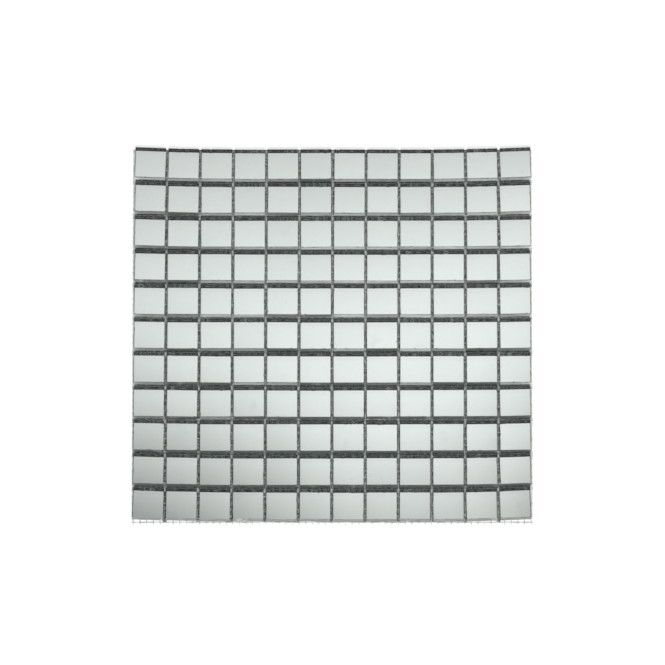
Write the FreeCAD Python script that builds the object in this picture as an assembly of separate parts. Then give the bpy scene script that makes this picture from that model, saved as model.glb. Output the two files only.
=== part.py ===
import FreeCAD, Part
import math
import os
import random

# A sheet of mirror-glass mosaic: square chips of clear glass, silvered on their backs, in straight
# rows on an open fibreglass net. It lies face up. Units are millimetres. X runs along the rows, Y
# runs from row to row, and Z points up out of the faces. The origin is under the middle of the
# sheet, on the surface that the net lies on.

# Chips
columns = 12
rows = 11
chip_side = 23.4
chip_thickness = 8.0
arris = 0.3  # narrow slope ground along the four edges of a chip's face, so that they don't cut

# Joints, which are left open for the grout
column_joint = 1.8  # between neighbours of one row
row_joint = 3.2  # between one row and the next

# How the glued rows lie: each one curves up in Y towards its ends, the outer rows most
end_rise_middle = 0.5
end_rise_outer = 1.5
end_rise_power = 4  # how late along a row the rise comes
row_slip = 0.1  # how far each row has slid to the left of the one before it
scatter_along = 0.12  # most that a chip strays along its row
scatter_across = 0.2  # most that a chip strays across its row
scatter_turn = 0.4  # most that a chip is turned, in degrees
scatter_seed = 11

# Net: two layers of yarns, one laid on the other
yarn_spacing = 5.0
yarn_width = 0.8
yarn_flat = 0.4  # flat top and bottom of a yarn, where it meets what crosses it
weft_thickness = 0.25  # the lower yarns, which run along the rows
warp_thickness = 0.25  # the upper yarns, which run from row to row
overhang_along = 1.1  # net beyond the first and last chip of a row
overhang_across = 2.0  # net beyond the first and last row

column_pitch = chip_side + column_joint
row_pitch = chip_side + row_joint
glass_length = columns * chip_side + (columns - 1) * column_joint
glass_width = rows * chip_side + (rows - 1) * row_joint
net_length = glass_length + 2 * overhang_along
net_width = glass_width + 2 * overhang_across
net_thickness = weft_thickness + warp_thickness

up = FreeCAD.Vector(0, 0, 1)
nowhere = FreeCAD.Vector(0, 0, 0)


def make_chip():
    """One chip with its back on Z = 0 and its middle over the origin."""
    block = Part.makeBox(
        chip_side,
        chip_side,
        chip_thickness,
        FreeCAD.Vector(-chip_side / 2, -chip_side / 2, 0),
    )
    face_edges = [edge for edge in block.Edges if edge.BoundBox.ZMin > chip_thickness / 2]
    return block.makeChamfer(arris, face_edges)


def from_middle(index, count):
    """Where a place lies in a line of them: -1 at the first, 0 in the middle, 1 at the last."""
    return 2 * index / max(count - 1, 1) - 1


def end_rise(row):
    """How far the ends of a row stand above its middle, in Y."""
    outwards = from_middle(row, rows) ** 2
    return end_rise_middle + (end_rise_outer - end_rise_middle) * outwards


def row_curve(row, x):
    """Height in Y and slope of a row's curve at one place along it."""
    reach = column_pitch * max(columns - 1, 1) / 2
    along = x / reach
    height = end_rise(row) * along**end_rise_power
    slope = end_rise(row) * end_rise_power * along ** (end_rise_power - 1) / reach
    return height, slope


def make_row(chip, row, chance):
    """The chips of one row, counted from the first row down, on top of the net."""
    chips = []
    rows_up = (rows - 1) / 2 - row
    row_y = row_pitch * rows_up
    for column in range(columns):
        x = column_pitch * (column - (columns - 1) / 2)
        height, slope = row_curve(row, x)
        place = FreeCAD.Vector(
            x + row_slip * rows_up + chance.uniform(-scatter_along, scatter_along),
            row_y + height + chance.uniform(-scatter_across, scatter_across),
            net_thickness,
        )
        turn = math.degrees(math.atan(slope)) + chance.uniform(-scatter_turn, scatter_turn)
        placed = chip.copy()
        placed.Placement = FreeCAD.Placement(place, FreeCAD.Rotation(up, turn))
        chips.append(placed)
    return Part.makeCompound(chips)


def make_yarn(length, thickness):
    """One yarn along X from the origin: a flattened strand with a flat top and bottom."""
    section = [
        (-yarn_flat / 2, 0),
        (yarn_flat / 2, 0),
        (yarn_width / 2, thickness / 2),
        (yarn_flat / 2, thickness),
        (-yarn_flat / 2, thickness),
        (-yarn_width / 2, thickness / 2),
    ]
    corners = [FreeCAD.Vector(0, y, z) for y, z in section]
    outline = Part.makePolygon(corners + corners[:1])
    return Part.Face(outline).extrude(FreeCAD.Vector(length, 0, 0))


def yarn_places(span):
    """Where the yarns of one layer cross its middle line, evenly spaced and inside the net."""
    count = int((span - yarn_width) / yarn_spacing) + 1
    first = -yarn_spacing * (count - 1) / 2
    return [first + yarn_spacing * number for number in range(count)]


def make_weft():
    """The lower yarns, which run along the rows."""
    yarns = []
    for y in yarn_places(net_width):
        yarn = make_yarn(net_length, weft_thickness)
        yarn.translate(FreeCAD.Vector(-net_length / 2, y, 0))
        yarns.append(yarn)
    return Part.makeCompound(yarns)


def make_warp():
    """The upper yarns, which run from row to row and carry the chips."""
    yarns = []
    for x in yarn_places(net_length):
        yarn = make_yarn(net_width, warp_thickness)
        yarn.rotate(nowhere, up, 90)
        yarn.translate(FreeCAD.Vector(x, -net_width / 2, weft_thickness))
        yarns.append(yarn)
    return Part.makeCompound(yarns)


def build():
    os.makedirs("parts", exist_ok=True)
    make_weft().exportStep("parts/mesh_weft.step")
    make_warp().exportStep("parts/mesh_warp.step")
    chip = make_chip()
    chance = random.Random(scatter_seed)
    for row in range(rows):
        make_row(chip, row, chance).exportStep(f"parts/tile_row_{row + 1:02d}.step")


build()
print(f"sheet {net_length:.1f} x {net_width:.1f} x {net_thickness + chip_thickness:.1f} mm")
print(f"glass {glass_length:.1f} x {glass_width:.1f} mm, {columns * rows} chips")
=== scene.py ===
# %% [markdown]
# A sheet of mirror-glass mosaic: twelve by eleven square chips of clear glass, silvered on their
# backs and glued to an open fibreglass net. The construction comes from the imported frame. What is
# left to do here is what makes such a sheet look real: glass that has depth, raw-cut sides that
# look dark through the glass and pale from outside, a twisted net, and the glue that holds it all.

# %% Load the frame
import bmesh
import bpy
import math
import random
from mathutils import Matrix, Vector, noise


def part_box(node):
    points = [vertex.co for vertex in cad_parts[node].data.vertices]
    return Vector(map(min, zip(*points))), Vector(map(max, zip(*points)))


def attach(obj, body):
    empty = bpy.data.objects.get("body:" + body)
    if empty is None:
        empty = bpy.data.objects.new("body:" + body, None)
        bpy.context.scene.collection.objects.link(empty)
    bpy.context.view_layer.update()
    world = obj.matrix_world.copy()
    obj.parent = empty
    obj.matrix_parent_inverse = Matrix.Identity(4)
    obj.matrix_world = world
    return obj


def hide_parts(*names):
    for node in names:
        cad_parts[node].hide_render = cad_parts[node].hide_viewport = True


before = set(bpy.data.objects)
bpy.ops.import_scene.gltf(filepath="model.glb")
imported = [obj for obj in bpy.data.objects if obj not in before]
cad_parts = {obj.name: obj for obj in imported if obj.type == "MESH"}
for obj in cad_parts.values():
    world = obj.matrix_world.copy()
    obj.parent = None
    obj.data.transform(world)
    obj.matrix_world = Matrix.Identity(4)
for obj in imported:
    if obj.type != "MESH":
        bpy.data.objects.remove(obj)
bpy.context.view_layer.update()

millimetre = 0.001
row_names = sorted(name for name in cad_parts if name.startswith("tile_row"))
weft_low, weft_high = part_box("mesh_weft")
warp_low, warp_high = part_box("mesh_warp")
first_row_low, first_row_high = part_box(row_names[0])
back_height = warp_high.z
face_height = first_row_high.z
print("rows", len(row_names), "face at", round(face_height / millimetre, 2), "mm")

# %% [markdown]
# The sheet was photographed from nearly straight above, from a little below its middle, with a
# long lens: its rows and columns hardly narrow with distance. A short lens close by would splay
# the joints, so the camera stands far off and its lens is worked out from the width it has to see.

# %% Camera
camera_tilt = math.radians(14.8)  # from the vertical, towards the last row
camera_distance = 10.5
frame_width = 0.5032  # what the picture's width covers, at the faces
sensor_width = 36.0
aim = Vector((0.0002, 0.0009, face_height))

camera_data = bpy.data.cameras.new("camera")
camera_data.sensor_width = sensor_width
camera_data.lens = sensor_width * camera_distance / frame_width
camera_data.clip_end = 10 * camera_distance
camera = bpy.data.objects.new("camera", camera_data)
towards_camera = Vector((0, -math.sin(camera_tilt), math.cos(camera_tilt)))
camera.location = aim + towards_camera * camera_distance
camera.rotation_euler = (camera_tilt, 0, 0)
bpy.context.scene.collection.objects.link(camera)
bpy.context.scene.camera = camera
bpy.context.scene.view_settings.view_transform = "Standard"
print("lens", round(camera_data.lens), "mm")

# %% [markdown]
# Every material below is a small tree of nodes. Three helpers keep the recipes short: one adds a
# node and sets its inputs by name, one joins two sockets, and one starts a material with only its
# output, so that each recipe says everything that is in it.

# %% Node helpers
def add(tree, kind, settings=None, **values):
    """A new node. settings are its options, and values its inputs, with _ for a space."""
    node = tree.nodes.new(kind)
    for name, value in (settings or {}).items():
        setattr(node, name, value)
    for name, value in values.items():
        node.inputs[name.replace("_", " ")].default_value = value
    return node


def join(tree, source, target):
    tree.links.new(source, target)


def new_material(name):
    material = bpy.data.materials.new(name)
    material.use_nodes = True
    tree = material.node_tree
    tree.nodes.clear()
    output = tree.nodes.new("ShaderNodeOutputMaterial")
    return material, tree, output


def mix_colours(tree, share, first, second):
    """A colour between two. Each may be a socket or a plain colour."""
    mix = tree.nodes.new("ShaderNodeMix")
    mix.data_type = "RGBA"
    for socket, value in zip((mix.inputs[0], mix.inputs[6], mix.inputs[7]), (share, first, second)):
        if isinstance(value, bpy.types.NodeSocket):
            join(tree, value, socket)
        else:
            socket.default_value = value
    return mix.outputs[2]


def stretch(tree, value, low, high, to_low=0.0, to_high=1.0):
    """Spreads the values between low and high over another range, and stops at its ends."""
    node = add(tree, "ShaderNodeMapRange")
    join(tree, value, node.inputs["Value"])
    for name, number in (("From Min", low), ("From Max", high), ("To Min", to_low), ("To Max", to_high)):
        node.inputs[name].default_value = number
    return node.outputs["Result"]


def mottle(tree, vector, scale, detail=3.0):
    """Soft noise between about 0.3 and 0.7."""
    node = add(tree, "ShaderNodeTexNoise", Scale=scale, Detail=detail)
    join(tree, vector, node.inputs["Vector"])
    return node.outputs["Fac"]


# %% [markdown]
# The studio is a light tent. A sheet of mirrors shows whatever stands over it, so the tent is what
# the faces are made of: a pale dome with a brighter pool towards the right of the sheet, a dimmer
# patch to its lower left and another towards its near edge. A dome close by is needed for that,
# because a far-off sky would look the same in every chip. The camera looks through the cloth, a
# large soft lamp shines through it from the near side, and diffuse rays see it as one plain tone.

# %% Tent pattern
tent_radius = 1.2
tent_tone = 0.63  # of most of the tent, as the mirrors see it
tent_tint = (0.985, 1.0, 0.99, 1.0)
tent_patches = {  # tone added in the middle, middle, and reach along X and Y
    "bright pool": (0.372, (0.165, 0.173), (0.90, 0.463)),
    "dim side": (-0.592, (-0.171, 0.034), (0.439, 0.348)),
    "dim near edge": (-0.90, (0.481, 0.101), (0.60, 0.341)),
}
tent_light = 0.3  # what the tent gives to diffuse surfaces


def soft_patch(tree, position, middle, reach):
    """1 in the middle of a soft oval patch of the tent, down to 0 at its reach."""
    away = add(tree, "ShaderNodeVectorMath", {"operation": "SUBTRACT"})
    join(tree, position, away.inputs[0])
    away.inputs[1].default_value = (*middle, 0)
    share = add(tree, "ShaderNodeVectorMath", {"operation": "DIVIDE"})
    join(tree, away.outputs[0], share.inputs[0])
    share.inputs[1].default_value = (*reach, 1)
    distance = add(tree, "ShaderNodeVectorMath", {"operation": "LENGTH"})
    join(tree, share.outputs[0], distance.inputs[0])
    fall = add(tree, "ShaderNodeMapRange", {"interpolation_type": "SMOOTHERSTEP"})
    join(tree, distance.outputs["Value"], fall.inputs["Value"])
    fall.inputs["To Min"].default_value = 1.0
    fall.inputs["To Max"].default_value = 0.0
    return fall.outputs["Result"]


def tent_material():
    material, tree, output = new_material("tent_cloth")
    place = add(tree, "ShaderNodeTexCoord")
    flat = add(tree, "ShaderNodeVectorMath", {"operation": "MULTIPLY"})
    join(tree, place.outputs["Object"], flat.inputs[0])
    flat.inputs[1].default_value = (1, 1, 0)
    tone = add(tree, "ShaderNodeValue").outputs[0]
    tone.default_value = tent_tone
    for added, middle, reach in tent_patches.values():
        patch = add(tree, "ShaderNodeMath", {"operation": "MULTIPLY_ADD"})
        join(tree, soft_patch(tree, flat.outputs[0], middle, reach), patch.inputs[0])
        patch.inputs[1].default_value = added
        join(tree, tone, patch.inputs[2])
        tone = patch.outputs[0]
    rays = add(tree, "ShaderNodeLightPath")
    seen = add(tree, "ShaderNodeEmission", Color=tent_tint)
    join(tree, tone, seen.inputs["Strength"])
    plain = add(tree, "ShaderNodeEmission", Strength=tent_light)
    glow = add(tree, "ShaderNodeMixShader")
    join(tree, rays.outputs["Is Diffuse Ray"], glow.inputs[0])
    join(tree, seen.outputs[0], glow.inputs[1])
    join(tree, plain.outputs[0], glow.inputs[2])
    join(tree, glow.outputs[0], output.inputs["Surface"])
    return material


# %% Tent, floor, lamp and surround
floor_size = 12.0
floor_tone = 0.93
floor_glow = 0.6  # share of plain white that the camera sees in the floor, over its shading
tent_rings = 24
lamp_size = 0.8
lamp_place = Vector((0.05, -1.18, 2.78))
lamp_power = 90.0


def object_from(bm, name, materials):
    """Ends a bmesh: its mesh becomes an object at the origin, with its materials."""
    mesh = bpy.data.meshes.new(name)
    bm.to_mesh(mesh)
    bm.free()
    for material in materials:
        mesh.materials.append(material)
    made = bpy.data.objects.new(name, mesh)
    bpy.context.scene.collection.objects.link(made)
    return made


def make_tent():
    bm = bmesh.new()
    bmesh.ops.create_uvsphere(bm, u_segments=2 * tent_rings, v_segments=tent_rings, radius=tent_radius)
    everything = bm.verts[:] + bm.edges[:] + bm.faces[:]
    bmesh.ops.bisect_plane(
        bm, geom=everything, plane_co=(0, 0, 0), plane_no=(0, 0, 1), clear_inner=True
    )
    bmesh.ops.reverse_faces(bm, faces=bm.faces[:])
    for face in bm.faces:
        face.smooth = True
    made = object_from(bm, "tent", [tent_material()])
    made.visible_camera = False
    made.visible_shadow = False
    return made


def floor_material():
    material, tree, output = new_material("floor_paper")
    paper = add(
        tree,
        "ShaderNodeBsdfPrincipled",
        Base_Color=(floor_tone, floor_tone, floor_tone, 1),
        Roughness=0.9,
    )
    white = add(tree, "ShaderNodeEmission")
    rays = add(tree, "ShaderNodeLightPath")
    direct = rays.outputs["Is Camera Ray"]
    for kind in ("Is Glossy Ray", "Is Transmission Ray"):
        either = add(tree, "ShaderNodeMath", {"operation": "MAXIMUM"})
        join(tree, direct, either.inputs[0])
        join(tree, rays.outputs[kind], either.inputs[1])
        direct = either.outputs[0]
    share = add(tree, "ShaderNodeMath", {"operation": "MULTIPLY"})
    join(tree, direct, share.inputs[0])
    share.inputs[1].default_value = floor_glow
    shown = add(tree, "ShaderNodeMixShader")
    join(tree, share.outputs[0], shown.inputs[0])
    join(tree, paper.outputs[0], shown.inputs[1])
    join(tree, white.outputs[0], shown.inputs[2])
    join(tree, shown.outputs[0], output.inputs["Surface"])
    return material


def make_floor():
    bm = bmesh.new()
    bmesh.ops.create_grid(bm, x_segments=1, y_segments=1, size=floor_size / 2)
    return object_from(bm, "floor", [floor_material()])


def make_lamp():
    data = bpy.data.lights.new("key_lamp", "AREA")
    data.size = lamp_size
    data.energy = lamp_power
    made = bpy.data.objects.new("key_lamp", data)
    made.location = lamp_place
    made.rotation_euler = (-lamp_place).to_track_quat("-Z", "Y").to_euler()
    made.visible_glossy = False
    made.visible_transmission = False
    bpy.context.scene.collection.objects.link(made)
    return made


def make_surround():
    """White where the camera looks past the floor, and no light of its own."""
    world = bpy.data.worlds.new("surround")
    world.use_nodes = True
    background = world.node_tree.nodes["Background"]
    background.inputs["Color"].default_value = (1, 1, 1, 1)
    rays = world.node_tree.nodes.new("ShaderNodeLightPath")
    world.node_tree.links.new(rays.outputs["Is Camera Ray"], background.inputs["Strength"])
    bpy.context.scene.world = world


tent = make_tent()
floor = make_floor()
lamp = make_lamp()
make_surround()
print("tent radius", tent_radius, "m, lamp at", round(lamp_place.length, 2), "m")

# %% [markdown]
# The raw-cut side of a chip is seen in two ways. From outside it is a pale, frosted wall with fine
# lines left by the cutter, and a smoother, darker zone under the scored edge; it is painted paler
# towards its foot, as painted light for what reaches it there through the next chip's glass. Through
# the glass it is painted nearly black, as painted shade for the light that gets in there and hardly
# comes out again, with a few bright hairs where the cut has flaked. Both need the same marks, so they
# are one node group, which reads a map that runs round the chip's sides: U goes along a side and V
# up it, in metres.

# %% Cut marks
side_map = "sides"
line_stretch = 0.4  # along the side, against 1 up it
hair_stretch = 0.3  # up the side, against 1 along it
hair_scale = 240.0
hair_width = 0.045
cut_grain_scale = 650.0
cut_grain_stretch = 0.2  # up the side, against 1 along it
flake_scale = 190.0  # along the side
flake_height = 3.0 * millimetre  # most that the flakes at the foot of a cut stand up
flake_edge = 0.3 * millimetre
patch_scale = 60.0  # slow changes from side to side


def new_group(name, inputs, outputs):
    tree = bpy.data.node_groups.new(name, "ShaderNodeTree")
    for socket, kind in inputs:
        tree.interface.new_socket(name=socket, in_out="INPUT", socket_type=kind)
    for socket, kind in outputs:
        tree.interface.new_socket(name=socket, in_out="OUTPUT", socket_type=kind)
    return tree, tree.nodes.new("NodeGroupInput"), tree.nodes.new("NodeGroupOutput")


def scaled(tree, vector, factors):
    node = add(tree, "ShaderNodeVectorMath", {"operation": "MULTIPLY"})
    join(tree, vector, node.inputs[0])
    node.inputs[1].default_value = factors
    return node.outputs[0]


def calculate(tree, operation, *values):
    """A Math node. Each value may be a socket or a number."""
    node = add(tree, "ShaderNodeMath", {"operation": operation})
    for socket, value in zip(node.inputs, values):
        if isinstance(value, bpy.types.NodeSocket):
            join(tree, value, socket)
        else:
            socket.default_value = value
    return node.outputs[0]


def make_cut_marks():
    """Lines along a cut side, thin bright hairs, grain, flakes at its foot, slow patches, and the
    height above the back."""
    tree, given, result = new_group(
        "cut_marks",
        [("Map", "NodeSocketVector"), ("Closeness", "NodeSocketFloat")],
        [(name, "NodeSocketFloat") for name in ("Lines", "Hairs", "Grain", "Flakes", "Patches", "Height")],
    )
    side = given.outputs["Map"]
    lines = add(tree, "ShaderNodeTexNoise", Detail=6.0, Roughness=0.62)
    join(tree, scaled(tree, side, (line_stretch, 1, 1)), lines.inputs["Vector"])
    join(tree, given.outputs["Closeness"], lines.inputs["Scale"])
    join(tree, lines.outputs["Fac"], result.inputs["Lines"])

    patches = mottle(tree, scaled(tree, side, (1, 0, 0)), patch_scale, 1.0)
    join(tree, patches, result.inputs["Patches"])

    waves = mottle(tree, scaled(tree, side, (1, hair_stretch, 1)), hair_scale, 2.0)
    level = calculate(tree, "COMPARE", waves, 0.5, hair_width)
    flaked = stretch(tree, patches, 0.57, 0.62)
    join(tree, calculate(tree, "MULTIPLY", level, flaked), result.inputs["Hairs"])

    grain = mottle(tree, scaled(tree, side, (1, cut_grain_stretch, 1)), cut_grain_scale, 2.0)
    join(tree, grain, result.inputs["Grain"])

    split = add(tree, "ShaderNodeSeparateXYZ")
    join(tree, side, split.inputs[0])
    join(tree, split.outputs["Y"], result.inputs["Height"])

    torn = mottle(tree, scaled(tree, side, (1, 0, 0)), flake_scale, 3.0)
    top = stretch(tree, torn, 0.42, 0.66, 0.0, flake_height)
    above = calculate(tree, "SUBTRACT", split.outputs["Y"], top)
    join(tree, stretch(tree, above, -flake_edge, 0.0, 1.0, 0.0), result.inputs["Flakes"])
    return tree


cut_marks_group = make_cut_marks()


def cut_marks(tree, closeness):
    """The cut-marks group placed in a material, reading the side map."""
    sides = add(tree, "ShaderNodeUVMap", {"uv_map": side_map})
    marks = add(tree, "ShaderNodeGroup", {"node_tree": cut_marks_group}, Closeness=closeness)
    join(tree, sides.outputs["UV"], marks.inputs["Map"])
    return marks.outputs


# %% [markdown]
# The glass itself is one Principled shader with full transmission and a faint green, as thick
# window glass has. The silver under it is a mirror metal a little darker than polished silver. Each
# chip has its own tone, kept as a number on its faces, because no two pieces of a cut sheet of
# mirror come out quite alike.

# %% Glass and silver
glass_index = 1.52
glass_green = (0.955, 0.985, 0.968, 1.0)
tone_name = "chip_tone"
grain_scale = 1300.0
smudge_scale = 45.0
speck_scale = 900.0
dome_radius = 1.6  # of the silver, which is never quite flat


def glass_material():
    material, tree, output = new_material("clear_glass")
    glass = add(
        tree,
        "ShaderNodeBsdfPrincipled",
        Base_Color=glass_green,
        Roughness=0.0,
        IOR=glass_index,
        Transmission_Weight=1.0,
    )
    join(tree, glass.outputs[0], output.inputs["Surface"])
    return material


def silver_material():
    material, tree, output = new_material("silvering")
    place = add(tree, "ShaderNodeTexCoord").outputs["Object"]
    clouds = stretch(tree, mottle(tree, place, 90.0), 0.35, 0.65)
    shade = mix_colours(tree, clouds, (0.93, 0.94, 0.937, 1), (0.955, 0.962, 0.96, 1))
    tone = add(tree, "ShaderNodeAttribute", {"attribute_name": tone_name})
    shade = mix_colours(tree, tone.outputs["Fac"], shade, (0.895, 0.91, 0.905, 1))
    grain = stretch(tree, mottle(tree, place, grain_scale, 2.0), 0.3, 0.7, 0.0, 0.5)
    shade = mix_colours(tree, grain, shade, (0.89, 0.905, 0.90, 1))
    smudges = stretch(tree, mottle(tree, place, smudge_scale, 5.0), 0.62, 0.74, 0.0, 0.5)
    shade = mix_colours(tree, smudges, shade, (0.80, 0.82, 0.83, 1))
    specks = stretch(tree, mottle(tree, place, speck_scale, 1.0), 0.74, 0.8, 0.0, 0.5)
    shade = mix_colours(tree, specks, shade, (0.45, 0.47, 0.46, 1))
    silver = add(tree, "ShaderNodeBsdfPrincipled", Metallic=1.0)
    join(tree, shade, silver.inputs["Base Color"])
    join(tree, stretch(tree, clouds, 0.0, 1.0, 0.02, 0.06), silver.inputs["Roughness"])
    from_top = add(tree, "ShaderNodeUVMap", {"uv_map": side_map}).outputs["UV"]
    squared = add(tree, "ShaderNodeVectorMath", {"operation": "DOT_PRODUCT"})
    join(tree, from_top, squared.inputs[0])
    join(tree, from_top, squared.inputs[1])
    dome = add(tree, "ShaderNodeBump", Strength=1.0, Distance=1.0)
    height = calculate(tree, "MULTIPLY", squared.outputs["Value"], 0.5 / dome_radius)
    join(tree, height, dome.inputs["Height"])
    join(tree, dome.outputs[0], silver.inputs["Normal"])
    join(tree, silver.outputs[0], output.inputs["Surface"])
    return material


# %% Cut sides and painted back
chip_thickness = face_height - back_height
paleness_name = "cut_paleness"
foot_paleness_painted_light = (0.6, 2.0)  # share of it at the top of a cut and at its foot: painted light, paler low down for light through the next chip's glass
outer_hairs = 0.35  # how strong the hairs are on the outside
rim_height = 0.5 * millimetre  # dark line right under the face's edge
clear_zone = (0.9 * millimetre, 2.6 * millimetre)  # smooth part of a cut, under the scored edge
smooth_when_frosted = 0.9  # how much of it a frosted cut keeps
smooth_dashes = (0.0, 1.15)  # the grain breaks it up into dashes, from faint to strong


def inner_cut_material():
    """A cut side as it looks through the glass, with the shade there painted in as a nearly black colour."""
    material, tree, output = new_material("cut_side_through_glass_painted_shade")
    marks = cut_marks(tree, 330.0)
    lines = stretch(tree, marks["Lines"], 0.47, 0.7)
    # painted shade: nearly black, for the little light that comes back out of the glass from here
    dark = mix_colours(tree, lines, (0.005, 0.010, 0.007, 1), (0.06, 0.075, 0.067, 1))
    tone = add(tree, "ShaderNodeAttribute", {"attribute_name": tone_name})
    seldom = calculate(tree, "POWER", tone.outputs["Fac"], 2.0)
    coarse = calculate(tree, "MULTIPLY", seldom, stretch(tree, marks["Grain"], 0.42, 0.6))
    dark = mix_colours(tree, coarse, dark, (0.55, 0.58, 0.56, 1))
    dark = mix_colours(tree, marks["Flakes"], dark, (0.66, 0.69, 0.67, 1))
    dark = mix_colours(tree, marks["Hairs"], dark, (0.90, 0.93, 0.91, 1))
    side = add(tree, "ShaderNodeBsdfPrincipled", Roughness=0.6, Specular_IOR_Level=0.08)
    join(tree, dark, side.inputs["Base Color"])
    join(tree, side.outputs[0], output.inputs["Surface"])
    return material


def outer_cut_material():
    """A cut side as it looks from outside."""
    material, tree, output = new_material("cut_side")
    marks = cut_marks(tree, 420.0)
    lines = stretch(tree, marks["Lines"], 0.36, 0.6)
    clean = mix_colours(tree, lines, (0.13, 0.155, 0.14, 1), (0.30, 0.335, 0.315, 1))
    frosted = mix_colours(tree, lines, (0.74, 0.78, 0.76, 1), (0.95, 0.97, 0.96, 1))
    paleness = add(tree, "ShaderNodeAttribute", {"attribute_name": paleness_name})
    # painted light: the wall grows paler towards its foot, standing in for light that reaches it through the
    # next chip's glass
    painted_foot_light = stretch(tree, marks["Height"], chip_thickness, 0.0, *foot_paleness_painted_light)
    share = calculate(tree, "MULTIPLY", paleness.outputs["Fac"], painted_foot_light)
    pale = mix_colours(tree, share, clean, frosted)
    depth = stretch(tree, marks["Patches"], 0.42, 0.6, *clear_zone)
    edge = calculate(tree, "SUBTRACT", chip_thickness, depth)
    above = calculate(tree, "SUBTRACT", marks["Height"], edge)
    smooth = stretch(tree, above, 0.0, clear_zone[0], 0.0, 0.85)
    kept_smooth = stretch(tree, paleness.outputs["Fac"], 0.0, 1.0, 1.0, smooth_when_frosted)
    smooth = calculate(tree, "MULTIPLY", smooth, kept_smooth)
    smooth = calculate(tree, "MULTIPLY", smooth, stretch(tree, marks["Grain"], 0.44, 0.54, *smooth_dashes))
    pale = mix_colours(tree, smooth, pale, (0.09, 0.12, 0.105, 1))
    rim = stretch(tree, marks["Height"], chip_thickness - rim_height, chip_thickness - rim_height / 2)
    pale = mix_colours(tree, rim, pale, (0.02, 0.03, 0.025, 1))
    hairs = calculate(tree, "MULTIPLY", marks["Hairs"], outer_hairs)
    pale = mix_colours(tree, hairs, pale, (0.93, 0.95, 0.94, 1))
    side = add(tree, "ShaderNodeBsdfPrincipled")
    join(tree, pale, side.inputs["Base Color"])
    join(tree, stretch(tree, smooth, 0.0, 1.0, 0.5, 0.15), side.inputs["Roughness"])
    bump = add(tree, "ShaderNodeBump", Strength=0.5, Distance=0.05 * millimetre)
    join(tree, marks["Lines"], bump.inputs["Height"])
    join(tree, bump.outputs[0], side.inputs["Normal"])
    join(tree, side.outputs[0], output.inputs["Surface"])
    return material


def back_paint_material():
    """The grey paint that guards the silver, on the chip's back."""
    material, tree, output = new_material("back_paint")
    place = add(tree, "ShaderNodeTexCoord").outputs["Object"]
    patches = stretch(tree, mottle(tree, place, 240.0), 0.3, 0.7)
    grey = mix_colours(tree, patches, (0.20, 0.215, 0.21, 1), (0.29, 0.305, 0.30, 1))
    paint = add(tree, "ShaderNodeBsdfPrincipled", Roughness=0.6)
    join(tree, grey, paint.inputs["Base Color"])
    join(tree, paint.outputs[0], output.inputs["Surface"])
    return material


chip_materials = [
    glass_material(),
    silver_material(),
    inner_cut_material(),
    outer_cut_material(),
    back_paint_material(),
]
GLASS, SILVER, INNER_CUT, OUTER_CUT, BACK_PAINT = range(len(chip_materials))

# %% [markdown]
# A chip is made of two closed shells. The outer one is a thin tray: its outside is the raw-cut
# sides and the painted back. The inner one is a block of glass that fills the tray and stands up
# out of it: its top and the narrow slope round it let light in, its bottom is the silver, and its
# sides are the cut sides as seen from within. One shell with two-sided materials would render much
# the same here, but its sides would have only one look once the model is exported.

# %% One plain chip, cut into cells
chip_side = 23.4 * millimetre
arris = 0.2 * millimetre
wall = 0.08 * millimetre  # of the tray
coat = 0.06 * millimetre  # painted back, under the silver
shell_gap = 0.01 * millimetre
silver_height = 0.2 * millimetre
cells_along = 36
cells_up = 5


def cut_across(bm, axis, places):
    """Cuts the mesh with planes at those places along one axis."""
    normal = [0, 0, 0]
    normal[axis] = 1
    for place in places:
        point = [0, 0, 0]
        point[axis] = place
        everything = bm.verts[:] + bm.edges[:] + bm.faces[:]
        bmesh.ops.bisect_plane(bm, geom=everything, plane_co=point, plane_no=normal)


def even_places(low, high, count):
    return [low + (high - low) * number / count for number in range(1, count)]


def box_mesh(side, low, high):
    """A square block, standing from low to high."""
    bm = bmesh.new()
    bmesh.ops.create_cube(bm, size=1)
    bmesh.ops.scale(bm, vec=(side, side, high - low), verts=bm.verts)
    bmesh.ops.translate(bm, vec=(0, 0, (low + high) / 2), verts=bm.verts)
    return bm


def flat_faces_at(bm, height):
    return [
        face
        for face in bm.faces
        if all(abs(vert.co.z - height) < 0.001 * millimetre for vert in face.verts)
    ]


def paint(faces, number):
    for face in faces:
        face.material_index = number


def slope_rim(bm, width):
    """The arris: a narrow slope round the top face."""
    rim = flat_faces_at(bm, chip_thickness)[0].edges[:]
    bmesh.ops.bevel(bm, geom=rim, offset=width, segments=1, profile=0.5, affect="EDGES", material=-1)


def cut_sides(bm, side):
    """Cuts a block's sides into cells, so that they can be shaped."""
    for axis in (0, 1):
        cut_across(bm, axis, even_places(-side / 2, side / 2, cells_along))


def merge_flat(bm, height, number):
    """Makes one face of the cells at that height, and gives it its material."""
    joined = bmesh.ops.dissolve_faces(bm, faces=flat_faces_at(bm, height))["region"]
    paint(joined, number)


def make_plain_shell():
    """The tray of cut sides and back paint."""
    bm = box_mesh(chip_side, 0, chip_thickness)
    slope_rim(bm, arris)
    cut_across(bm, 2, even_places(0, chip_thickness - arris, cells_up))
    cut_sides(bm, chip_side)
    mouth = chip_thickness - arris + wall
    everything = bm.verts[:] + bm.edges[:] + bm.faces[:]
    bmesh.ops.bisect_plane(
        bm, geom=everything, plane_co=(0, 0, mouth), plane_no=(0, 0, 1), clear_outer=True
    )
    bmesh.ops.holes_fill(bm, edges=[edge for edge in bm.edges if edge.is_boundary])
    lid = flat_faces_at(bm, mouth)
    sunk = bmesh.ops.extrude_face_region(bm, geom=lid)["geom"]
    bmesh.ops.delete(bm, geom=lid, context="FACES_ONLY")
    sunk_verts = [part for part in sunk if isinstance(part, bmesh.types.BMVert)]
    bmesh.ops.translate(bm, vec=(0, 0, coat - mouth), verts=sunk_verts)
    paint(bm.faces, OUTER_CUT)
    merge_flat(bm, 0, BACK_PAINT)
    return bm


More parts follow.
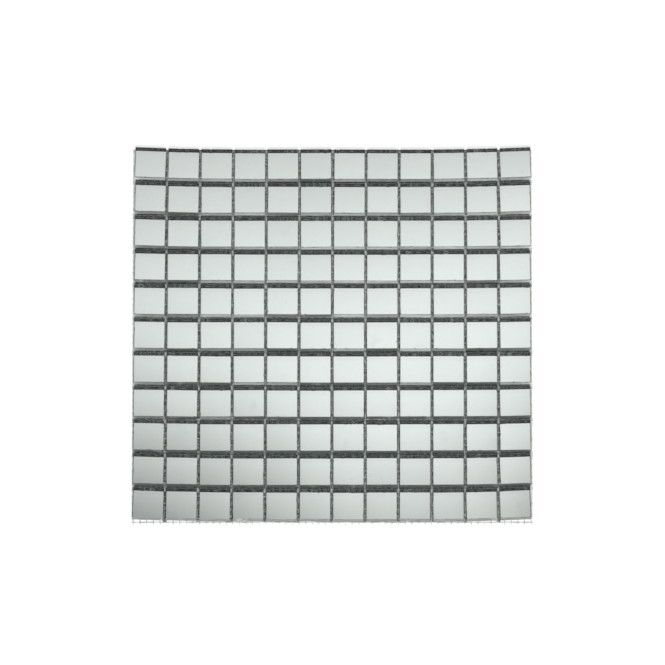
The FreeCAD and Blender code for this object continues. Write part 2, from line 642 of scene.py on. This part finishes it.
def make_plain_block():
    """The glass that fills the tray."""
    side = chip_side - 2 * (wall + shell_gap)
    bm = box_mesh(side, silver_height, chip_thickness)
    slope_rim(bm, arris - wall - shell_gap)
    cut_sides(bm, side)
    paint(bm.faces, INNER_CUT)
    paint([face for face in bm.faces if face.normal.z > 0.1], GLASS)
    merge_flat(bm, chip_thickness, GLASS)
    merge_flat(bm, silver_height, SILVER)
    return bm


def kept_mesh(bm, name):
    """Keeps a shape as a mesh, to be stamped many times into larger ones."""
    mesh = bpy.data.meshes.new(name)
    open_edges = sum(not edge.is_manifold for edge in bm.edges)
    bm.to_mesh(mesh)
    print(name, len(bm.verts), "corners", len(bm.faces), "faces", open_edges, "open edges")
    bm.free()
    return mesh


def stamp(bm, plain):
    """Adds a copy of a plain mesh, and gives its corners."""
    before = len(bm.verts)
    bm.from_mesh(plain)
    bm.verts.ensure_lookup_table()
    return bm.verts[before:]


plain_shell = kept_mesh(make_plain_shell(), "plain_shell")
plain_block = kept_mesh(make_plain_block(), "plain_block")

# %% [markdown]
# No snapped edge is straight. Each side of a chip wanders inwards by up to a twelfth of a
# millimetre, the outer walls carry shallow steps, and here and there the cutter has nicked the rim.
# The same wander moves both shells, so that they stay one inside the other, and nothing moves
# outwards, so the chip keeps to its real size.

# %% Wander, steps and nicks
wander_depth = 0.08 * millimetre
wander_length = 8 * millimetre
step_depth = 0.04 * millimetre
step_length = 5 * millimetre
step_height = 0.9 * millimetre
nick_counts = (0, 0, 0, 1, 1, 2)  # per side, one picked at random
nick_reach = (0.7 * millimetre, 1.6 * millimetre)
nick_depth = (0.1 * millimetre, 0.35 * millimetre)
SIDES = ((0, 1), (0, -1), (1, 1), (1, -1))


def half_noise(x, y, z):
    """Smooth noise between 0 and 1."""
    return 0.5 + 0.5 * max(-1.0, min(1.0, noise.noise(Vector((x, y, z)))))


class Cut:
    """How one side of one chip was cut."""

    def __init__(self, chance):
        self.seed = chance.uniform(0, 500)
        self.nicks = [
            (
                chance.uniform(-chip_side / 2, chip_side / 2),
                chance.uniform(*nick_reach),
                chance.uniform(*nick_depth),
            )
            for number in range(chance.choice(nick_counts))
        ]

    def wander(self, along):
        return wander_depth * half_noise(along / wander_length, self.seed, 0)

    def step(self, along, height):
        return step_depth * half_noise(along / step_length, height / step_height, self.seed)

    def nick(self, along, height):
        deepest = 0
        below = chip_thickness - height
        for place, reach, depth in self.nicks:
            near = 1 - ((along - place) / reach) ** 2 - (below / reach) ** 2
            deepest = max(deepest, depth * near)
        return deepest


def cut_vertices(verts, cuts, is_tray):
    """Moves each corner near a side inwards, as that side was cut."""
    edge_zone = chip_side / 2 - 2 * arris
    for vert in verts:
        place = vert.co.copy()
        for (axis, sign), cut in zip(SIDES, cuts):
            if place[axis] * sign < edge_zone:
                continue
            along = place[1 - axis]
            inwards = cut.wander(along) + cut.nick(along, place.z)
            if is_tray and place[axis] * sign > (chip_side - wall) / 2:
                inwards += cut.step(along, place.z)
            vert.co[axis] -= sign * inwards


# %% [markdown]
# The materials need to know where they are on a chip. One map does for all of them: on a side it
# runs along the side and up from the back, and on the silver it starts at the top of a very slight
# dome, a little off the chip's middle, which makes each mirror look different from the next. Two
# numbers go with each chip: the tone of its mirror, and how frosted its cuts are. The walls are
# darker in the rows nearest the camera and palest in a patch right of the sheet's middle.

# %% Side map and chip tones
dome_stray = 5 * millimetre
clean_below = -80 * millimetre  # where the rows of darker walls end, in Y
frosted_above = 40 * millimetre  # where the rows of paler walls start
paleness_range = (0.05, 0.42)  # from the first to the second
palest_middle = Vector((25 * millimetre, 45 * millimetre))
palest_reach = Vector((150 * millimetre, 60 * millimetre))
palest_added = 0.6  # there
paleness_stray = (0.2, 0.65)  # far from the middle row, and in it
paleness_mixed = 80 * millimetre  # how far from the middle row the mixed rows reach
paleness_contrast = 2.0  # most cuts are either clean or frosted, and few are between


def cut_paleness(middle, chance):
    """How pale a chip's cuts are, from 0 to 1."""
    share = (middle.y - clean_below) / (frosted_above - clean_below)
    share = min(max(share, 0), 1)
    paleness = paleness_range[0] + (paleness_range[1] - paleness_range[0]) * share
    away = (middle.xy - palest_middle) / palest_reach.x
    away.y *= palest_reach.x / palest_reach.y
    paleness += palest_added * max(0, 1 - away.length)
    mixed = max(0, 1 - abs(middle.y) / paleness_mixed)
    stray = paleness_stray[0] + (paleness_stray[1] - paleness_stray[0]) * mixed
    paleness += chance.uniform(-stray, stray)
    return min(max(0.5 + paleness_contrast * (paleness - 0.5), 0), 1)


def map_chip(bm, faces, middle, chance):
    """Writes the map of a chip that still lies in its own frame, and the chip's tones."""
    sides = bm.loops.layers.uv[side_map]
    tones = bm.faces.layers.float[tone_name]
    palenesses = bm.faces.layers.float[paleness_name]
    seed = chance.uniform(0, 50)
    tone = chance.random()
    paleness = cut_paleness(middle, chance)
    dome_top = [chance.uniform(-dome_stray, dome_stray) for axis in (0, 1)]
    for face in faces:
        face[tones] = tone
        face[palenesses] = paleness
        facing = max((0, 1), key=lambda axis: abs(face.normal[axis]))
        shift = seed + facing * chip_side + (face.normal[facing] > 0) * 2 * chip_side
        for corner in face.loops:
            place = corner.vert.co
            if face.material_index == SILVER:
                corner[sides].uv = (place.x - dome_top[0], place.y - dome_top[1])
            else:
                corner[sides].uv = (place[1 - facing] + shift, place.z)


# %% [markdown]
# Where each chip lies is read from the frame, and not worked out again: the twelve blocks of a row
# stand apart, so the lowest corners, sorted along the row, come in fours. Their middle is the
# chip's place, and the line from its left pair to its right pair is its turn.

# %% Places of the chips
def chip_places(node):
    copy = bmesh.new()
    copy.from_mesh(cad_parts[node].data)
    bmesh.ops.remove_doubles(copy, verts=copy.verts, dist=0.01 * millimetre)
    feet = [vert.co.copy() for vert in copy.verts if vert.co.z < back_height + 0.1 * millimetre]
    copy.free()
    feet.sort(key=lambda foot: foot.x)
    places = []
    for first in range(0, len(feet), 4):
        corners = feet[first:first + 4]
        middle = sum(corners, Vector()) / 4
        ahead = corners[2] + corners[3] - corners[0] - corners[1]
        places.append((middle, math.atan2(ahead.y, ahead.x)))
    return places


chips = {name: chip_places(name) for name in row_names}
print("chips in each row", {len(places) for places in chips.values()})


# %% Rows of chips
def add_chip(bm, middle, turn, chance):
    """One chip, cut and mapped in its own frame and then laid in its place."""
    cuts = [Cut(chance) for side in SIDES]
    first_face = len(bm.faces)
    verts = []
    for plain in (plain_shell, plain_block):
        added = stamp(bm, plain)
        cut_vertices(added, cuts, plain is plain_shell)
        verts += added
    bm.faces.ensure_lookup_table()
    faces = bm.faces[first_face:]
    for face in faces:
        face.normal_update()
    map_chip(bm, faces, middle, chance)
    place = Matrix.Translation(middle) @ Matrix.Rotation(turn, 4, "Z")
    for vert in verts:
        vert.co = place @ vert.co


def make_row(node, chance):
    """The twelve chips of one row as one piece."""
    bm = bmesh.new()
    bm.loops.layers.uv.new(side_map)
    bm.faces.layers.float.new(tone_name)
    bm.faces.layers.float.new(paleness_name)
    for middle, turn in chips[node]:
        add_chip(bm, middle, turn, chance)
    row = object_from(bm, node + "_glass", chip_materials)
    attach(row, "root")
    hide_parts(node)
    return row


def triangles(piece):
    return sum(len(polygon.vertices) - 2 for polygon in piece.data.polygons)


chance = random.Random(23)
rows = [make_row(name, chance) for name in row_names]
print("triangles in a row", triangles(rows[0]))

# %% [markdown]
# The net is white glass fibre, woven so that it can't slide: each yarn from row to row is a pair of
# thin strands that change sides between the crossing yarns, one always over them and one always
# under. All are rods with a few corners to a ring, and one ring at each crossing and one between
# crossings. A weave made by a texture would have no depth in the open joints.

# %% Yarn finish
yarn_spacing = 5.0 * millimetre
yarn_stray = 0.2 * millimetre
weft_width = 0.75 * millimetre
weft_sizes = (0.17 * millimetre, 0.26 * millimetre)  # thickness at a crossing and between two
strand_width = 0.36 * millimetre
strand_thickness = 0.165 * millimetre
strand_reach = 0.17 * millimetre  # how far a strand stands to one side at a crossing


def yarn_material(name, along):
    """Spun glass: fine lines along the yarn, which runs along X or Y."""
    material, tree, output = new_material(name)
    place = add(tree, "ShaderNodeTexCoord").outputs["Object"]
    factors = [1, 1, 1]
    factors[along] = 0.15
    fibres = mottle(tree, scaled(tree, place, factors), 5200.0, 2.0)
    dirt = stretch(tree, mottle(tree, place, 500.0), 0.40, 0.56, 0.0, 0.95)
    white = mix_colours(tree, stretch(tree, fibres, 0.35, 0.65), (0.42, 0.43, 0.41, 1), (0.78, 0.79, 0.77, 1))
    white = mix_colours(tree, dirt, white, (0.22, 0.235, 0.225, 1))
    yarn = add(tree, "ShaderNodeBsdfPrincipled", Roughness=0.55)
    join(tree, white, yarn.inputs["Base Color"])
    bump = add(tree, "ShaderNodeBump", Strength=0.6, Distance=0.04 * millimetre)
    join(tree, fibres, bump.inputs["Height"])
    join(tree, bump.outputs[0], yarn.inputs["Normal"])
    join(tree, yarn.outputs[0], output.inputs["Surface"])
    return material


# %% Rods bent into yarns
def even_yarns(low, high):
    """Evenly spaced places on both sides of zero, all between low and high."""
    count = int((high - low - weft_width) / yarn_spacing) + 1
    return [yarn_spacing * (number - (count - 1) / 2) for number in range(count)]


def make_plain_rod(name, axis, low, high, sides):
    """A straight rod 1 m thick along one axis, with a ring at each crossing and between them."""
    bm = bmesh.new()
    rings = 2 * int((high - low) / yarn_spacing) - 1
    bmesh.ops.create_cone(bm, cap_ends=True, segments=sides, radius1=0.5, radius2=0.5, depth=high - low)
    long_edges = [edge for edge in bm.edges if abs(edge.verts[0].co.z - edge.verts[1].co.z) > 0]
    bmesh.ops.subdivide_edges(bm, edges=long_edges, cuts=rings)
    turn = Matrix.Rotation(math.pi / 2, 4, "Y" if axis == 0 else "X")
    bmesh.ops.transform(bm, matrix=turn, verts=bm.verts)
    return kept_mesh(bm, name)


def bend(verts, axis, shape):
    """Shapes a stamped rod. shape takes a place along it, and gives middle, height, width and
    thickness there."""
    for vert in verts:
        middle, height, width, thickness = shape(vert.co[axis])
        vert.co[1 - axis] = middle + vert.co[1 - axis] * width
        vert.co.z = height + vert.co.z * thickness


def yarn_piece(bm, name, node, material):
    for face in bm.faces:
        face.smooth = True
    yarns = object_from(bm, name, [material])
    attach(yarns, "root")
    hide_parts(node)
    print(name, triangles(yarns), "triangles")
    return yarns


net_height = warp_high.z
net_low = Vector((weft_low.x, warp_low.y, 0))
net_high = Vector((weft_high.x, warp_high.y, net_height))


def stray(along, seed):
    return yarn_stray * noise.noise(Vector((along / (14 * millimetre), seed, 0)))


def crossing_share(along):
    """1 at a crossing, 0 half way between two."""
    return 0.5 + 0.5 * math.cos(2 * math.pi * along / yarn_spacing)


def make_weft(chance):
    bm = bmesh.new()
    rod = make_plain_rod("plain_weft", 0, net_low.x, net_high.x, 6)
    for place in even_yarns(net_low.y, net_high.y):
        seed = chance.uniform(0, 100)

        def shape(along):
            crossed = crossing_share(along)
            thickness = weft_sizes[1] + (weft_sizes[0] - weft_sizes[1]) * crossed
            return place + stray(along, seed), net_height / 2, weft_width, thickness

        bend(stamp(bm, rod), 0, shape)
    return yarn_piece(bm, "net_weft", "mesh_weft", yarn_material("weft_yarn", 0))


def make_warp(chance):
    bm = bmesh.new()
    rod = make_plain_rod("plain_strand", 1, net_low.y, net_high.y, 5)
    for place in even_yarns(net_low.x, net_high.x):
        seed = chance.uniform(0, 100)
        for level in (-1, 1):

            def shape(along):
                sideways = level * strand_reach * math.cos(math.pi * along / yarn_spacing)
                height = net_height / 2 + level * (net_height - strand_thickness) / 2
                return place + sideways + stray(along, seed), height, strand_width, strand_thickness

            bend(stamp(bm, rod), 1, shape)
    return yarn_piece(bm, "net_warp", "mesh_warp", yarn_material("warp_yarn", 1))


weft = make_weft(chance)
warp = make_warp(chance)

# %% [markdown]
# Glue holds the chips to the net. It has run into the net between the chips and set there as a
# thin, glossy film, and where it lies thick, at the corners of the chips, it is milky. The thin film
# is painted nearly black, as painted shade for the bottom of the narrow joints, and it is laid thinner
# between the rows, where the shade is deeper. The film is one long strip for each joint, tucked a
# little under the chips on both sides, and one for each side of the sheet, whose grey is painted
# shade beside the sheet. Where four chips meet there is a thick pad with threads of glue across it.
# Pads, threads and dabs are small flattened balls with a few dozen faces each.

# %% Glue finish
glue_lumps = 0.5 * millimetre  # what the grain adds to the glue's height, to tell thin from thick
glue_grain_scale = 800.0


def glue_material(name, thin, thick, milk):
    """Painted dark where it is thin, as painted shade, and milky where it is thick. milk holds two shades of
    the thick glue.
    """
    material, tree, output = new_material(name)
    place = add(tree, "ShaderNodeTexCoord").outputs["Object"]
    split = add(tree, "ShaderNodeSeparateXYZ")
    join(tree, place, split.inputs[0])
    grain = mottle(tree, place, glue_grain_scale, 2.0)
    lumpy = calculate(tree, "MULTIPLY_ADD", grain, glue_lumps, split.outputs["Z"])
    milky = stretch(tree, lumpy, thin, thick)
    clouds = mottle(tree, place, 800.0)
    # painted shade: the thin film is nearly black, standing in for the shade at the bottom of the narrow
    # joints
    film = mix_colours(tree, stretch(tree, clouds, 0.35, 0.65), (0.04, 0.05, 0.045, 1), (0.20, 0.22, 0.21, 1))
    thick_colour = mix_colours(tree, stretch(tree, clouds, 0.4, 0.6), *milk)
    colour = mix_colours(tree, milky, film, thick_colour)
    glue = add(tree, "ShaderNodeBsdfPrincipled", Roughness=0.45)
    join(tree, colour, glue.inputs["Base Color"])
    bump = add(tree, "ShaderNodeBump", Strength=0.4, Distance=0.05 * millimetre)
    join(tree, clouds, bump.inputs["Height"])
    join(tree, bump.outputs[0], glue.inputs["Normal"])
    join(tree, glue.outputs[0], output.inputs["Surface"])
    return material


# %% Glue film in the joints
film_bottom = 0.02 * millimetre
film_tops = (0.16 * millimetre, 0.42 * millimetre)
shaded_row_tops = (0.14 * millimetre, 0.32 * millimetre)  # between rows, laid thinner so that the film is darker there, as painted shade
edge_tops = (0.46 * millimetre, 0.49 * millimetre)  # along the sheet's left and right edges, where the grey strip is painted shade beside the sheet
film_widths = (0.8, 1.1)  # of a strip, against its plain width
edge_widths = (0.97, 1.0)
film_roughness = 400.0
film_tuck = 0.6 * millimetre  # under the chips, on each side of a joint
edge_tuck = 2.0 * millimetre
edge_bare = 0.3 * millimetre  # net that the glue leaves bare there
film_cell = 2.0 * millimetre
film_cells_across = 4
glass_low_x = min(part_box(name)[0].x for name in row_names)
glass_high_x = max(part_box(name)[1].x for name in row_names)
glass_low_y = min(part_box(name)[0].y for name in row_names)
glass_high_y = max(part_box(name)[1].y for name in row_names)
columns = len(chips[row_names[0]])
column_joint = chips[row_names[0]][1][0].x - chips[row_names[0]][0][0].x - chip_side
row_joint = chips[row_names[0]][5][0].y - chips[row_names[1]][5][0].y - chip_side
column_pitch = (chips[row_names[0]][-1][0].x - chips[row_names[0]][0][0].x) / (columns - 1)


def row_joint_at(upper, x):
    """The middle line of the joint below a row, which bends as the rows do."""
    spot = min(max(x / column_pitch + (columns - 1) / 2, 0), columns - 1.001)
    column = int(spot)

    def middle(number):
        above, below = (chips[row_names[row]][number][0].y for row in (upper, upper + 1))
        return (above + below) / 2

    return middle(column) + (middle(column + 1) - middle(column)) * (spot - column)


def row_middle(name):
    return sum((middle for middle, turn in chips[name]), Vector()) / columns


slide = row_middle(row_names[0]) - row_middle(row_names[-1])
lean = slide.x / slide.y


def column_joint_at(left, y):
    """The middle line of the joint right of a column, which leans because the rows have slid."""
    middles = [(chips[name][left][0] + chips[name][left + 1][0]) / 2 for name in row_names]
    middle = sum(middles, Vector()) / len(middles)
    return middle.x + lean * (y - middle.y)


def make_plain_film(name, axis, low, high, width, number=0):
    """A flat strip along one axis, its bottom below zero and its top above, in one material."""
    bm = box_mesh(1, -1, 1)
    size = [width, width, 1]
    size[axis] = high - low
    bmesh.ops.scale(bm, vec=size, verts=bm.verts)
    shift = [0, 0, 0]
    shift[axis] = (high + low) / 2
    bmesh.ops.translate(bm, vec=shift, verts=bm.verts)
    cut_across(bm, axis, even_places(low, high, round((high - low) / film_cell)))
    cut_across(bm, 1 - axis, even_places(-width / 2, width / 2, film_cells_across))
    paint(bm.faces, number)
    return kept_mesh(bm, name)


def between(limits, share):
    return limits[0] + (limits[1] - limits[0]) * share


def lay_film(verts, axis, middle_at, tops=film_tops, widths=film_widths):
    """Lays a stamped strip along a joint, with a wavy top and ragged sides."""
    for vert in verts:
        middle = middle_at(vert.co[axis])
        rough = half_noise(vert.co.x * film_roughness, (vert.co.y + middle) * film_roughness, axis)
        vert.co[1 - axis] = vert.co[1 - axis] * between(widths, rough) + middle
        vert.co.z = film_bottom if vert.co.z < 0 else between(tops, rough)


def glue_piece(bm, name, materials):
    for face in bm.faces:
        face.smooth = True
    glue = object_from(bm, name, materials)
    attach(glue, "root")
    print(name, triangles(glue), "triangles")
    return glue


def make_film():
    bm = bmesh.new()
    width = row_joint + 2 * film_tuck
    strip = make_plain_film("plain_row_film", 0, glass_low_x, glass_high_x, width)
    for upper in range(len(row_names) - 1):
        lay_film(stamp(bm, strip), 0, lambda x: row_joint_at(upper, x), shaded_row_tops)
    width = column_joint + 2 * film_tuck
    strip = make_plain_film("plain_column_film", 1, glass_low_y, glass_high_y, width)
    for left in range(columns - 1):
        lay_film(stamp(bm, strip), 1, lambda y: column_joint_at(left, y))
    # painted shade: the strips along the sheet's sides are grey, standing in for the shade beside the chips
    edge = net_high.x - edge_bare
    width = edge - glass_high_x + edge_tuck
    strip = make_plain_film("plain_edge_film", 1, glass_low_y, glass_high_y, width, 1)
    for side in (-1, 1):
        middle = side * (edge - width / 2)
        lay_film(stamp(bm, strip), 1, lambda y: middle, edge_tops, edge_widths)
    return glue_piece(bm, "glue_film_painted_shade", [joint_glue_painted_shade, edge_glue_painted_shade])


joint_glue_painted_shade = glue_material(
    "joint_glue_painted_shade",
    0.53 * millimetre,
    0.77 * millimetre,
    ((0.31, 0.33, 0.32, 1), (0.54, 0.56, 0.54, 1)),
)
edge_glue_painted_shade = glue_material(
    "edge_glue_painted_shade",
    0.48 * millimetre,
    0.70 * millimetre,
    ((0.46, 0.48, 0.47, 1), (0.72, 0.74, 0.72, 1)),
)
film = make_film()

# %% Thick dabs of glue
crossing_drop = 0.9 * millimetre  # of the glue, towards the last row
pad_size = ((0.9, 1.3), (1.6, 2.3), (0.15, 0.22))  # half sizes in millimetres
thread_size = ((0.14, 0.24), (0.8, 1.5), (0.15, 0.3))
threads = (2, 3)  # at one crossing
thread_room = (0.35 * millimetre, 0.8 * millimetre)
thread_turns = (0.3, 0.9)  # to one side or the other of the joint, in radians
joint_dabs = 5  # along one chip
joint_dab_size = ((0.2, 0.5), (0.15, 0.3), (0.15, 0.32))
dab_room = 0.6 * millimetre  # kept free at both ends of a joint


def make_plain_dab():
    bm = bmesh.new()
    bmesh.ops.create_uvsphere(bm, u_segments=8, v_segments=5, radius=1)
    return kept_mesh(bm, "plain_dab")


def add_dab(bm, plain, place, sizes, chance, turn=0.0):
    """A lumpy flattened ball that lies on its lowest point."""
    seed = chance.uniform(0, 100)
    size = Vector([chance.uniform(*limits) * millimetre for limits in sizes])
    turned = Matrix.Rotation(turn, 3, "Z")
    for vert in stamp(bm, plain):
        lump = 0.75 + 0.25 * half_noise(vert.co.x + seed, vert.co.y, vert.co.z)
        vert.co = place + turned @ (vert.co * size * lump)
        vert.co.z += size.z


def make_dabs(chance):
    bm = bmesh.new()
    plain = make_plain_dab()
    for upper in range(len(row_names) - 1):
        for left in range(columns - 1):
            x = column_joint_at(left, row_joint_at(upper, column_pitch * (left + 1 - columns / 2)))
            crossing = Vector((x, row_joint_at(upper, x) - crossing_drop, film_tops[0]))
            add_dab(bm, plain, crossing, pad_size, chance)
            for number in range(chance.randint(*threads)):
                aside = [chance.uniform(-room, room) for room in thread_room]
                turn = chance.choice((-1, 1)) * chance.uniform(*thread_turns)
                add_dab(bm, plain, crossing + Vector((*aside, 0)), thread_size, chance, turn)
        for number in range(joint_dabs * columns):
            x = chance.uniform(glass_low_x + dab_room, glass_high_x - dab_room)
            up = chance.uniform(-row_joint / 3, row_joint / 3)
            place = Vector((x, row_joint_at(upper, x) + up, film_tops[0]))
            add_dab(bm, plain, place, joint_dab_size, chance)
    return glue_piece(bm, "glue_dabs", [milky_glue])


milky_glue = glue_material(
    "milky_glue",
    0.32 * millimetre,
    0.56 * millimetre,
    ((0.36, 0.38, 0.37, 1), (0.50, 0.52, 0.51, 1)),
)
dabs = make_dabs(chance)
